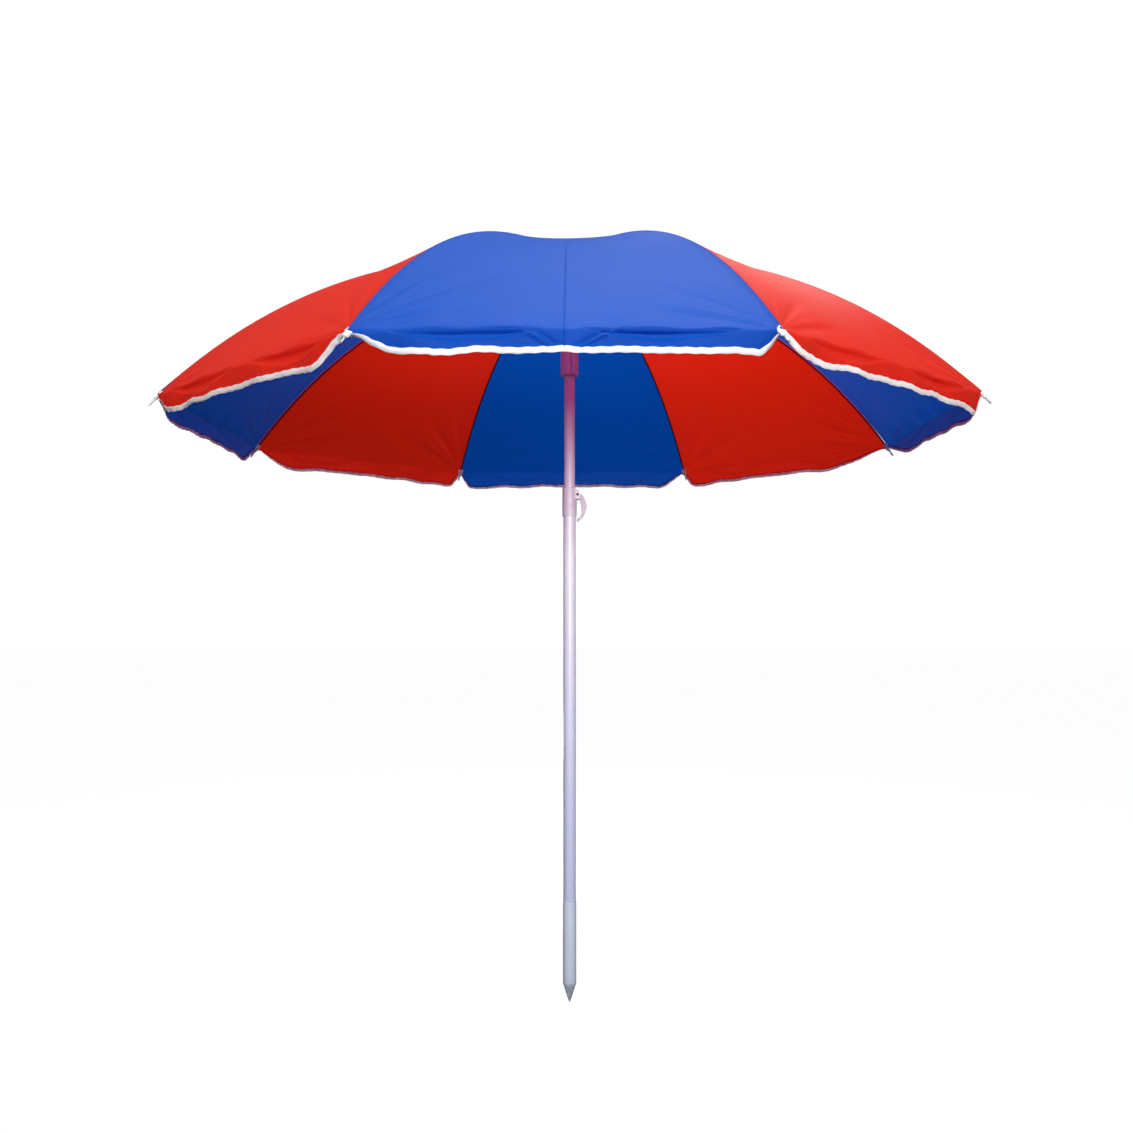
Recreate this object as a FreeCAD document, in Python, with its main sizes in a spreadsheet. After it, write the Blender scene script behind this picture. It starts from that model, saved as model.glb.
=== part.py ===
"""Beach umbrella: a two-piece pole with a flip-lever clamp, a sliding runner, eight curved
ribs with short stretchers, and an eight-gore cover with a hanging valance.

Frame: +Z up, origin at the tip of the ground spike. The front is -Y, and rib 1 stands 22.5
degrees from it towards +X; ribs and gores are numbered from there, counter-clockwise from above.
"""

import FreeCAD, Part
import math
import os

import Sketcher

# Driving dimensions, in millimetres, degrees or plain ratios.
SIZES = {
    # pole
    "spike_cone_height": 37,
    "spike_tip_radius": 1.6,
    "spike_radius": 13.6,
    "spike_top": 198,
    "lower_radius": 12.7,
    "lower_bore": 11.7,
    "lower_bottom": 40,
    "lower_top": 1008,
    "upper_radius": 11.1,
    "upper_bore": 10.2,
    "upper_bottom": 660,
    # clamp
    "collar_radius": 14.8,
    "collar_bottom": 980,
    "collar_top": 1039,
    "collar_clearance": 0.06,
    "fit": 0.02,
    "rivet_radius": 2,
    "rivet_rise": 13,
    "ear_half_width": 9.6,
    "ear_gap": 6.4,
    "pivot_out": 16.4,
    "pivot_height": 1025,
    "lever_pin_radius": 1.6,
    "pin_recess": 1.4,
    "shoe_radius": 12.5,
    "shoe_half_height": 9,
    "lever_width": 12,
    "lever_reach": 35.5,
    "lever_bottom": 969,
    # runner
    "runner_radius": 18,
    "runner_bottom": 1271,
    "runner_neck": 1334,
    "runner_top": 1358,
    "runner_flange": 26,
    "runner_clearance": 0.08,
    "runner_ring_radius": 20.5,
    "runner_ring_height": 1350,
    "ring_wire": 1.2,
    "latch_azimuth": 35,
    "latch_pin_height": 1314,
    "latch_pin_out": 15.2,
    "latch_pin_radius": 1.2,
    # crown and ribs
    "rim_radius": 800,
    "rim_height": 1168,
    "rib_root_fall": 0.1376,
    "rib_bend": 0.3124,
    "rib_wire": 1.8,
    "rib_arcs": 8,
    "rib_overrun": 22,
    "crown_ring_radius": 16.5,
    "hub_radius": 20,
    "hub_neck_radius": 13.4,
    "cap_radius": 36,
    "first_azimuth": 22.5,
    "rib_step": 45,
    "bracket_out": 200,
    "bracket_drop": 7,
    "bracket_half_length": 8,
    "bracket_slack": 0.12,
    "stretcher_inner_face": 3.1,
    "stretcher_thickness": 2,
    # cover
    "cover_lift": 3.2,
    "cover_thickness": 1.2,
    "cover_inner_radius": 25,
    "cover_gap": 0.3,
    "cover_sag": 14,
    "valance_drop": 38,
    "valance_corner": 70,
}
RIBS = 8

doc = FreeCAD.newDocument("beach_umbrella")
sheet = doc.addObject("Spreadsheet::Sheet", "sizes")
for row, (alias, value) in enumerate(SIZES.items(), start=1):
    sheet.set(f"A{row}", alias)
    sheet.set(f"B{row}", str(value))
    sheet.setAlias(f"B{row}", alias)
doc.recompute()

parts = []


def size(alias):
    """The value of one cell of the sheet."""
    return float(sheet.get(alias))


def bind(obj, **formulas):
    """Binds properties, with __ standing for a dot in their names, to formulas of the sheet."""
    for name, formula in formulas.items():
        text = str(formula)
        for alias in sorted(SIZES, key=len, reverse=True):
            text = text.replace(f"<{alias}>", f"sizes.{alias}")
        obj.setExpression(name.replace("__", "."), text)
    return obj


def primitive(kind, name, at=(0, 0, 0), turn=None, **formulas):
    """A Part primitive with bound sizes at a place, turned by (axis, degrees)."""
    obj = doc.addObject(f"Part::{kind}", name)
    bind(obj, **formulas)
    if turn:
        axis, angle = turn
        obj.Placement.Rotation = FreeCAD.Rotation(FreeCAD.Vector(*axis), angle)
    bind(obj, Placement__Base__x=at[0], Placement__Base__y=at[1], Placement__Base__z=at[2])
    return obj


def cylinder(name, radius, height, at=(0, 0, 0), turn=None):
    return primitive("Cylinder", name, at, turn, Radius=radius, Height=height)


def box(name, length, width, height, at):
    return primitive("Box", name, at, None, Length=length, Width=width, Height=height)


def torus(name, ring, wire, height):
    return primitive("Torus", name, (0, 0, height), None, Radius1=ring, Radius2=wire)


def fuse(name, *shapes):
    obj = doc.addObject("Part::MultiFuse", name)
    obj.Shapes = list(shapes)
    return obj


def cut(name, base, *tools):
    """The base without each of the tools, taken away one after another."""
    left = base
    for index, tool in enumerate(tools, start=1):
        last = index == len(tools)
        less = doc.addObject("Part::Cut", name if last else f"{name}_step_{index}")
        less.Base = left
        less.Tool = tool
        left = less
    return left


def soften(name, base, radius, wanted):
    """A fillet of one radius on the edges that wanted accepts."""
    doc.recompute()
    obj = doc.addObject("Part::Fillet", name)
    obj.Base = base
    chosen = [i for i, e in enumerate(base.Shape.Edges, start=1) if wanted(e)]
    obj.Edges = [(i, radius, radius) for i in chosen]
    return obj


def circle_at(height, radius):
    """Picks full circles about the Z axis of a given height and radius."""

    def wanted(edge):
        curve = edge.Curve
        if not isinstance(curve, Part.Circle):
            return False
        level = abs(curve.Center.z - height) < 0.01
        centred = math.hypot(curve.Center.x, curve.Center.y) < 0.01
        return level and centred and abs(curve.Radius - radius) < 0.01

    return wanted


def done(obj, label):
    """Names a finished sub-part and puts it on the list that is written."""
    obj.Label = label
    parts.append(obj)
    return obj


def body(name, plane, draw):
    """A PartDesign body with one sketch on a named origin plane, drawn by draw."""
    made = doc.addObject("PartDesign::Body", name + "_body")
    sketch = made.newObject("Sketcher::SketchObject", name + "_outline")
    planes = [f for f in made.Origin.OriginFeatures if f.Role == plane]
    sketch.AttachmentSupport = [(planes[0], "")]
    sketch.MapMode = "FlatFace"
    draw(sketch)
    return made, sketch


def radius_circle(sketch, x, y, radius, formula):
    """A circle whose radius is bound to the sheet."""
    centre = FreeCAD.Vector(x, y, 0)
    index = sketch.addGeometry(Part.Circle(centre, FreeCAD.Vector(0, 0, 1), radius), False)
    rule = sketch.addConstraint(Sketcher.Constraint("Radius", index, radius))
    bind(sketch, **{f"Constraints[{rule}]": formula})
    return index


def tube(name, outer, inner, low, high):
    """A straight tube on the Z axis between two heights."""

    def draw(sketch):
        radius_circle(sketch, 0, 0, size(outer), f"<{outer}>")
        radius_circle(sketch, 0, 0, size(inner), f"<{inner}>")

    made, sketch = body(name, "XY_Plane", draw)
    pad = made.newObject("PartDesign::Pad", name + "_pad")
    pad.Profile = sketch
    bind(pad, Length=f"{high} - {low}")
    bind(made, Placement__Base__z=low)
    return made


# ---------------------------------------------------------------- shared geometry


def rib_fall(radius):
    """How far the rib's centreline lies below its level on the axis, at a radius."""
    share = radius / size("rim_radius")
    fall = size("rib_root_fall") * share + size("rib_bend") * share**3
    return fall * size("rim_radius")


def rib_slope(radius):
    share = radius / size("rim_radius")
    return size("rib_root_fall") + 3 * size("rib_bend") * share**2


CROWN_LEVEL = size("rim_height") + rib_fall(size("rim_radius"))


def rib_level(radius):
    """The height of the rib's centreline at a radius."""
    return CROWN_LEVEL - rib_fall(radius)


HINGE_LEVEL = rib_level(size("crown_ring_radius"))
STUD_RADIUS = 3


def cover_level(radius):
    """The height of the cover's lower face over a rib."""
    lift = size("cover_lift") * math.hypot(1, rib_slope(radius))
    return rib_level(radius) + lift


def bracket_pivot():
    """The stretcher's outer pivot, below the rib: radius and height."""
    out = size("bracket_out")
    slope = rib_slope(out)
    length = math.hypot(1, slope)
    drop = size("bracket_drop")
    return out - drop * slope / length, rib_level(out) - drop / length


def stretcher_root():
    """Where the stretcher's eye meets the runner's ring: radius and height."""
    middle = size("stretcher_inner_face") + size("stretcher_thickness") / 2
    radius = math.sqrt(size("runner_ring_radius") ** 2 - middle**2)
    return radius, size("runner_ring_height")


def turned(obj, number):
    """Turns a piece modelled along +X to the azimuth of a numbered rib."""
    obj.Placement.Rotation = FreeCAD.Rotation(FreeCAD.Vector(0, 0, 1), 1)
    formula = f"<first_azimuth> + {number - 1} * <rib_step> - 90"
    return bind(obj, Placement__Rotation__Angle=formula)


# ---------------------------------------------------------------- pole


def make_spike():
    """A steel sleeve over the pole's end with a solid cone."""
    sleeve = cylinder(
        "spike_sleeve",
        "<spike_radius>",
        "<spike_top> - <spike_cone_height>",
        (0, 0, "<spike_cone_height>"),
    )
    cone = primitive(
        "Cone",
        "spike_cone",
        Radius1="<spike_tip_radius>",
        Radius2="<spike_radius>",
        Height="<spike_cone_height>",
    )
    bore = cylinder(
        "spike_bore",
        "<lower_radius> + <fit>",
        "<spike_top> - <lower_bottom> + 1",
        (0, 0, "<lower_bottom> - 0.05"),
    )
    made = cut("spike_cut", fuse("spike_solid", sleeve, cone), bore)
    rim = circle_at(size("spike_top"), size("spike_radius"))
    done(soften("spike", made, 0.5, rim), "spike")


def rivet_bore(name):
    """The hole for the rivet, from the axis out through the back."""
    height = "<collar_bottom> + <rivet_rise>"
    return cylinder(name, "<rivet_radius> + <fit>", 20, (0, 0, height), ((1, 0, 0), -90))


def make_collar():
    """The clamp collar: a stepped sleeve with two ears and a window for the shoe."""
    barrel = cylinder(
        "collar_barrel",
        "<collar_radius>",
        "<collar_top> - <collar_bottom>",
        (0, 0, "<collar_bottom>"),
    )
    doc.recompute()
    ring = soften("collar_ring", barrel, 1.2, lambda e: isinstance(e.Curve, Part.Circle))
    ear_depth = "<pivot_out> + 4.6"
    ears = box(
        "collar_ears",
        ear_depth,
        "2 * <ear_half_width>",
        20,
        (0, "-<ear_half_width>", "<pivot_height> - 10"),
    )
    doc.recompute()
    rounded = soften(
        "collar_ears_round",
        ears,
        4.2,
        lambda e: abs(e.Vertexes[0].Y) > 9 and e.BoundBox.XMin > 20 and e.BoundBox.YLength > 1,
    )
    gap = box(
        "collar_gap",
        30,
        "2 * <ear_gap>",
        60,
        (8, "-<ear_gap>", "<pivot_height> - 11"),
    )
    lower_bore = cylinder(
        "collar_lower_bore",
        "<lower_radius> + <fit>",
        "<lower_top> - <collar_bottom> + 1",
        (0, 0, "<collar_bottom> - 1"),
    )
    upper_bore = cylinder(
        "collar_upper_bore",
        "<upper_radius> + <collar_clearance>",
        80,
        (0, 0, "<collar_bottom>"),
    )
    pin_hole = cylinder(
        "collar_pin_hole",
        "<lever_pin_radius> + <fit>",
        40,
        ("<pivot_out>", 20, "<pivot_height>"),
        ((1, 0, 0), 90),
    )
    recesses = []
    for side, start in (
        ("front", "-<ear_half_width> + <pin_recess>"),
        ("back", "<ear_half_width> + 5"),
    ):
        recess = cylinder(
            f"collar_recess_{side}",
            3.6,
            6.4,
            ("<pivot_out>", start, "<pivot_height>"),
            ((1, 0, 0), 90),
        )
        recesses.append(recess)
    rivet_hole = rivet_bore("collar_rivet_hole")
    solid = fuse("collar_solid", ring, rounded)
    tools = (gap, lower_bore, upper_bore, pin_hole, *recesses, rivet_hole)
    done(cut("clamp_collar", solid, *tools), "clamp_collar")


def make_lower_tube():
    made = tube("lower_tube", "lower_radius", "lower_bore", "<lower_bottom>", "<lower_top>")
    doc.recompute()
    done(cut("lower_tube_drilled", made, rivet_bore("tube_rivet_hole")), "lower_tube")


def make_collar_rivet():
    """A blind rivet through the collar and the tube, at the back."""
    height = "<collar_bottom> + <rivet_rise>"
    shank = cylinder(
        "rivet_shank",
        "<rivet_radius>",
        "<collar_radius> - <lower_bore> - <fit>",
        (0, "<lower_bore> + 2 * <fit>", height),
        ((1, 0, 0), -90),
    )
    head = primitive(
        "Cone",
        "rivet_head",
        (0, "<collar_radius>", height),
        ((1, 0, 0), -90),
        Radius1=3.8,
        Radius2=2.4,
        Height=1.3,
    )
    done(fuse("collar_rivet", shank, head), "collar_rivet")


def make_lever_pin():
    shank = cylinder(
        "pin_shank",
        "<lever_pin_radius>",
        "2 * (<ear_half_width> - <pin_recess>)",
        ("<pivot_out>", "<ear_half_width> - <pin_recess>", "<pivot_height>"),
        ((1, 0, 0), 90),
    )
    heads = []
    for side, start in (
        ("front", "-<ear_half_width> + <pin_recess>"),
        ("back", "<ear_half_width> - <pin_recess> + 1"),
    ):
        head = cylinder(
            f"pin_head_{side}",
            2.6,
            1,
            ("<pivot_out>", start, "<pivot_height>"),
            ((1, 0, 0), 90),
        )
        heads.append(head)
    done(fuse("lever_pin", shank, *heads), "lever_pin")


def make_clamp_shoe():
    """The curved pad that the lever's cam presses on the upper tube."""
    bottom = "<pivot_height> - <shoe_half_height>"
    pad = cylinder("shoe_pad", "<shoe_radius>", "2 * <shoe_half_height>", (0, 0, bottom))
    bore = cylinder(
        "shoe_bore",
        "<upper_radius> + <collar_clearance>",
        20,
        (0, 0, "<pivot_height> - 10"),
    )
    window = box(
        "shoe_window",
        12,
        "2 * <ear_gap> - 1.2",
        20,
        (6, "-<ear_gap> + 0.6", "<pivot_height> - 10"),
    )
    common = doc.addObject("Part::Common", "shoe_sector")
    common.Base = cut("shoe_ring", pad, bore)
    common.Tool = window
    done(common, "clamp_shoe")


def make_lever():
    """The flip lever: a cam head and a D-shaped finger loop, locked hanging down."""
    out = size("pivot_out")
    high = size("pivot_height")
    reach = size("lever_reach") - out
    depth = size("lever_bottom") - high
    cam = 3.5

    def from_pivot(outward, upward):
        return FreeCAD.Vector(out + outward, high + upward, 0)

    def draw(sketch):
        head_top = from_pivot(1.2, 3.2)
        brow = from_pivot(11, -1.5)
        belly = from_pivot(reach, -24)
        foot = from_pivot(1, depth + 0.8)
        toe = from_pivot(-1.4, depth + 7)
        inner_foot = from_pivot(4.4, depth + 8.6)
        inner_belly = from_pivot(reach - 11.6, -30)
        inner_top = from_pivot(2.6, -7.6)
        cam_low = from_pivot(0, -cam)
        outline = [
            Part.Arc(head_top, from_pivot(4.4, 1.8), brow),
            Part.Arc(brow, from_pivot(reach - 2.6, -13), belly),
            Part.Arc(belly, from_pivot(reach - 4.5, depth + 17), foot),
            Part.Arc(foot, from_pivot(-1.8, depth + 2.8), toe),
            Part.LineSegment(toe, inner_foot),
            Part.Arc(inner_foot, from_pivot(reach - 13, depth + 14), inner_belly),
            Part.Arc(inner_belly, from_pivot(reach - 12.6, -17), inner_top),
            Part.LineSegment(inner_top, cam_low),
            Part.Arc(cam_low, from_pivot(-cam, 0), head_top),
        ]
        for edge in outline:
            sketch.addGeometry(edge, False)
        hole = size("lever_pin_radius") + 0.08
        radius_circle(sketch, out, high, hole, "<lever_pin_radius> + 0.08")

    made, sketch = body("clamp_lever", "XZ_Plane", draw)
    pad = made.newObject("PartDesign::Pad", "lever_pad")
    pad.Profile = sketch
    pad.Midplane = True
    bind(pad, Length="<lever_width>")
    done(made, "clamp_lever")


# ---------------------------------------------------------------- upper pole and crown


def make_upper_tube():
    top = HINGE_LEVEL - 2
    made = tube("upper_tube", "upper_radius", "upper_bore", "<upper_bottom>", f"{top:.3f}")
    done(made, "upper_tube")


def make_guide_bush():
    """The plastic bush that centres the upper tube in the lower one."""
    skirt = cylinder("bush_skirt", "<lower_bore> - 0.06", 10, (0, 0, "<upper_bottom> - 10"))
    spigot = cylinder("bush_spigot", "<upper_bore> - 0.04", 22, (0, 0, "<upper_bottom> - 1"))
    bore = cylinder("bush_bore", 7.6, 40, (0, 0, "<upper_bottom> - 15"))
    done(cut("guide_bush", fuse("bush_solid", skirt, spigot), bore), "guide_bush")


def slots(name, inner, width, low, high, shift=0):
    """Eight radial slots for the ribs or the stretchers, as one group of boxes."""
    boxes = []
    for number in range(1, RIBS + 1):
        slot = doc.addObject("Part::Box", f"{name}_{number}")
        bind(slot, Length=40, Width=width, Height=high - low)
        angle = size("first_azimuth") + (number - 1) * size("rib_step") - 90
        turn = FreeCAD.Rotation(FreeCAD.Vector(0, 0, 1), angle)
        corner = turn.multVec(FreeCAD.Vector(inner, shift - width / 2, low))
        slot.Placement = FreeCAD.Placement(corner, turn)
        boxes.append(slot)
    return boxes


def make_crown_hub():
    """The slotted hub on top of the pole, with a groove for the ring that the ribs turn on."""
    level = HINGE_LEVEL
    disc = cylinder("hub_disc", "<hub_radius>", 17, (0, 0, level - 10))
    neck = cylinder("hub_neck", "<hub_neck_radius>", 24, (0, 0, level - 30))
    rounded = soften("hub_disc_round", disc, 1.2, lambda e: isinstance(e.Curve, Part.Circle))
    groove = torus("hub_groove", "<crown_ring_radius>", "<ring_wire> + 0.03", level)
    socket = cylinder("hub_socket", "<upper_radius> + 0.03", 60, (0, 0, level - 61.95))
    stud_hole = cylinder("hub_stud_hole", STUD_RADIUS + 0.03, 20, (0, 0, level - 5))
    slot_start = size("hub_neck_radius") - 0.5
    cuts = slots("hub_slot", slot_start, 5.2, level - 12, level + 4.6)
    solid = fuse("hub_solid", rounded, neck)
    done(cut("crown_hub", solid, groove, socket, stud_hole, *cuts), "crown_hub")


def make_top_cap():
    """The screwed finial cap that clamps the cover's centre over the hub."""
    seat = 7.05
    brim = 4.4
    knob_top = 28.4
    edge = size("cap_radius")

    def above_hub(radius, rise):
        return FreeCAD.Vector(radius, HINGE_LEVEL + rise, 0)

    def draw(sketch):
        underside = [
            above_hub(0, -3),
            above_hub(STUD_RADIUS, -3),
            above_hub(STUD_RADIUS, seat),
            above_hub(21, seat),
            above_hub(21.5, brim + 0.2),
            above_hub(edge - 2, brim - 1),
            above_hub(edge, brim),
        ]
        for start, end in zip(underside, underside[1:]):
            sketch.addGeometry(Part.LineSegment(start, end), False)
        waist = above_hub(9, 15)
        knob = above_hub(8.6, 24)
        shoulder = above_hub(2.5, knob_top)
        crown = above_hub(0, knob_top)
        sketch.addGeometry(Part.Arc(underside[-1], above_hub(edge - 10, 10.6), waist), False)
        sketch.addGeometry(Part.Arc(waist, above_hub(7.2, 18.6), knob), False)
        sketch.addGeometry(Part.Arc(knob, above_hub(6.6, knob_top - 1.2), shoulder), False)
        sketch.addGeometry(Part.LineSegment(shoulder, crown), False)
        sketch.addGeometry(Part.LineSegment(crown, underside[0]), False)

    made, sketch = body("top_cap", "XZ_Plane", draw)
    spin = made.newObject("PartDesign::Revolution", "top_cap_spin")
    spin.Profile = sketch
    spin.ReferenceAxis = (sketch, ["V_Axis"])
    spin.Angle = 360
    done(made, "top_cap")


def make_ring(name, ring, height):
    """A closed wire ring that the eyes of the ribs or stretchers turn on."""
    done(torus(name, f"<{ring}>", "<ring_wire>", height), name)


# ---------------------------------------------------------------- runner


def latch_direction():
    angle = math.radians(size("latch_azimuth"))
    return math.sin(angle), -math.cos(angle)


def sector(name, inner, outer, half_angle, low, high):
    """A curved block about the latch's azimuth."""
    ring = primitive(
        "Cylinder",
        name + "_outer",
        (0, 0, low),
        None,
        Radius=outer,
        Height=high - low,
        Angle=2 * half_angle,
    )
    core = cylinder(name + "_core", inner, high - low + 2, (0, 0, low - 1))
    start = size("latch_azimuth") - 90 - half_angle
    ring.Placement.Rotation = FreeCAD.Rotation(FreeCAD.Vector(0, 0, 1), start)
    return cut(name, ring, core)


def latch_bar(name, radius, half_length):
    """A cylinder along the latch's pivot line."""
    east, north = latch_direction()
    bar = doc.addObject("Part::Cylinder", name)
    bind(bar, Radius=radius, Height=2 * half_length)
    along = FreeCAD.Vector(-north, east, 0)
    out = size("latch_pin_out")
    middle = FreeCAD.Vector(out * east, out * north, size("latch_pin_height"))
    turn = FreeCAD.Rotation(FreeCAD.Vector(0, 0, 1), along)
    bar.Placement = FreeCAD.Placement(middle - along * half_length, turn)
    return bar


def make_runner():
    low = size("runner_bottom")
    neck = size("runner_neck")
    sleeve = cylinder("sleeve_outer", "<runner_radius>", "<runner_neck> - <runner_bottom> + 2",
                      (0, 0, "<runner_bottom>"))
    bottom = circle_at(low, size("runner_radius"))
    chamfered = soften("sleeve_round", sleeve, 2.2, bottom)
    cone = primitive(
        "Cone",
        "flange_cone",
        (0, 0, "<runner_neck>"),
        None,
        Radius1="<runner_radius>",
        Radius2="<runner_flange>",
        Height=6,
    )
    flange = cylinder("flange_disc", "<runner_flange>", "<runner_top> - <runner_neck> - 6",
                      (0, 0, "<runner_neck> + 6"))
    top = circle_at(size("runner_top"), size("runner_flange"))
    rounded = soften("flange_round", flange, 1.5, top)
    bore = cylinder("runner_bore", "<upper_radius> + <runner_clearance>", 120,
                    (0, 0, "<runner_bottom> - 10"))
    groove = torus("runner_groove", "<runner_ring_radius>", "<ring_wire> + 0.03",
                   "<runner_ring_height>")
    middle = size("stretcher_inner_face") + size("stretcher_thickness") / 2
    cuts = slots("runner_slot", 15.6, 3.4, neck + 7, size("runner_top") + 2, middle)
    window = sector("latch_window", 11.6, 20, 24, low - 2, neck - 3)
    pin_hole = latch_bar("latch_pin_hole", "<latch_pin_radius> + <fit>", 10.4)
    solid = fuse("runner_solid", chamfered, cone, rounded)
    done(cut("runner", solid, bore, groove, window, pin_hole, *cuts), "runner")


def make_latch():
    """The press latch in the runner's window, on a pin near its top."""
    low = size("runner_bottom") + 1.5
    high = size("runner_neck") - 4.6
    block = sector("latch_block", 13.6, 18, 20, low, high)
    lower_relief = sector("latch_relief", 10, 14.6, 30, low - 1, low + 24)
    hole = latch_bar("latch_hole", "<latch_pin_radius> + 0.1", 12)
    done(cut("runner_latch", block, lower_relief, hole), "runner_latch")


def make_latch_pin():
    done(latch_bar("latch_pin", "<latch_pin_radius>", 8.4), "latch_pin")


# ---------------------------------------------------------------- ribs and stretchers


def make_rib(number):
    """A bent round wire with a flattened root eye, swept along a chain of tangent arcs."""
    arcs = int(size("rib_arcs"))
    nodes = [size("crown_ring_radius") + 2.2]
    nodes += [size("rim_radius") * step / arcs for step in range(1, arcs + 1)]

    def draw(sketch):
        start = FreeCAD.Vector(nodes[0], rib_level(nodes[0]), 0)
        heading = FreeCAD.Vector(1, -rib_slope(nodes[0]), 0).normalize()
        for radius in nodes[1:]:
            end = FreeCAD.Vector(radius, rib_level(radius), 0)
            chord = end - start
            across = FreeCAD.Vector(heading.y, -heading.x, 0)
            turn_radius = chord.dot(chord) / (2 * chord.dot(across))
            centre = start + across * turn_radius
            inward = (start + end) * 0.5 - centre
            middle = centre + inward.normalize() * abs(turn_radius)
            sketch.addGeometry(Part.Arc(start, middle, end), False)
            spoke = end - centre
            heading = FreeCAD.Vector(spoke.y, -spoke.x, 0).normalize()
            start = end
        tip = start + heading * size("rib_overrun")
        sketch.addGeometry(Part.LineSegment(start, tip), False)

    made, path = body(f"rib_{number}", "XZ_Plane", draw)
    doc.recompute()
    section = made.newObject("Sketcher::SketchObject", f"rib_{number}_section")
    planes = [f for f in made.Origin.OriginFeatures if f.Role == "YZ_Plane"]
    section.AttachmentSupport = [(planes[0], "")]
    section.MapMode = "FlatFace"
    section.AttachmentOffset = FreeCAD.Placement(
        FreeCAD.Vector(0, 0, nodes[0]), FreeCAD.Rotation()
    )
    radius_circle(section, 0, rib_level(nodes[0]), size("rib_wire"), "<rib_wire>")
    doc.recompute()
    pipe = made.newObject("PartDesign::AdditivePipe", f"rib_{number}_pipe")
    pipe.Profile = section
    pipe.Spine = (path, [f"Edge{i}" for i in range(1, len(nodes) + 1)])
    doc.recompute()
    eye = cylinder(
        f"rib_{number}_eye_disc",
        3.1,
        4,
        ("<crown_ring_radius>", 2, HINGE_LEVEL),
        ((1, 0, 0), 90),
    )
    hole = cylinder(
        f"rib_{number}_eye_hole",
        "<ring_wire> + 0.25",
        8,
        ("<crown_ring_radius>", 4, HINGE_LEVEL),
        ((1, 0, 0), 90),
    )
    finished = cut(f"rib_{number}_cut", fuse(f"rib_{number}_solid", made, eye), hole)
    done(turned(finished, number), f"rib_{number}")


def make_bracket(number):
    """The folded clip on a rib, with the tab that carries the stretcher's rivet."""
    out = size("bracket_out")
    slope = math.atan(rib_slope(out))
    east, height = bracket_pivot()
    face = size("stretcher_inner_face")
    lean = ((0, 1, 0), 90 + math.degrees(slope))
    sideways = ((1, 0, 0), 90)

    def along_rib(distance):
        """A point of the rib's line, this far outwards from the clip's middle."""
        return (
            out + distance * math.cos(slope),
            0,
            rib_level(out) - distance * math.sin(slope),
        )

    half = size("bracket_half_length")
    shell = cylinder(f"bracket_{number}_shell", 2.8, 2 * half, along_rib(-half), lean)
    bore_radius = "<rib_wire> + <bracket_slack>"
    bore = cylinder(f"bracket_{number}_bore", bore_radius, 40, along_rib(-20), lean)
    foot_at = (east, "<stretcher_inner_face> - 0.4", height)
    foot = cylinder(f"bracket_{number}_foot", 3.4, 1.2, foot_at, sideways)
    tail_at = (east, "<stretcher_inner_face> - 1.55", height)
    tail = cylinder(f"bracket_{number}_tail", 2.2, 0.9, tail_at, sideways)
    tab = doc.addObject("Part::Box", f"bracket_{number}_tab")
    bind(tab, Length=6.8, Width=1.2, Height="<bracket_drop>")
    turn = FreeCAD.Rotation(FreeCAD.Vector(0, 1, 0), math.degrees(slope))
    corner = FreeCAD.Vector(east, face - 1.6, height) + turn.multVec(FreeCAD.Vector(-3.4, 0, 0))
    tab.Placement = FreeCAD.Placement(corner, turn)
    solid = fuse(f"bracket_{number}_solid", shell, foot, tab, tail)
    done(turned(cut(f"bracket_{number}_cut", solid, bore), number), f"bracket_{number}")


def make_stretcher(number):
    """A flat steel link from the runner's ring to beside the rib's bracket."""
    root = stretcher_root()
    tip = bracket_pivot()
    length = math.dist(root, tip)
    half = 3.2

    def draw(sketch):
        root_low = FreeCAD.Vector(0, -half, 0)
        root_high = FreeCAD.Vector(0, half, 0)
        tip_low = FreeCAD.Vector(length, -half, 0)
        tip_high = FreeCAD.Vector(length, half, 0)
        outline = [
            Part.LineSegment(root_low, tip_low),
            Part.Arc(tip_low, FreeCAD.Vector(length + half, 0, 0), tip_high),
            Part.LineSegment(tip_high, root_high),
            Part.Arc(root_high, FreeCAD.Vector(-half, 0, 0), root_low),
        ]
        for edge in outline:
            sketch.addGeometry(edge, False)
        radius_circle(sketch, 0, 0, size("ring_wire") + 0.4, "<ring_wire> + 0.4")

    made, sketch = body(f"stretcher_{number}", "XZ_Plane", draw)
    pad = made.newObject("PartDesign::Pad", f"stretcher_{number}_pad")
    pad.Profile = sketch
    bind(pad, Length="<stretcher_thickness>")
    bind(made, Placement__Base__y="<stretcher_thickness>")
    head_rise = 1.05
    head = cylinder(
        f"stretcher_{number}_head",
        2.9,
        1.1,
        (length, f"<stretcher_thickness> + {head_rise}", 0),
        ((1, 0, 0), 90),
    )
    link = fuse(f"stretcher_{number}_link", made, head)
    rise = math.degrees(math.atan2(tip[1] - root[1], tip[0] - root[0]))
    tilt = FreeCAD.Rotation(FreeCAD.Vector(0, 1, 0), -rise)
    azimuth = size("first_azimuth") + (number - 1) * size("rib_step") - 90
    around = FreeCAD.Rotation(FreeCAD.Vector(0, 0, 1), azimuth)
    place = FreeCAD.Vector(root[0], size("stretcher_inner_face"), root[1])
    link.Placement = FreeCAD.Placement(around.multVec(place), around.multiply(tilt))
    done(link, f"stretcher_{number}")


# ---------------------------------------------------------------- cover


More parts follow.
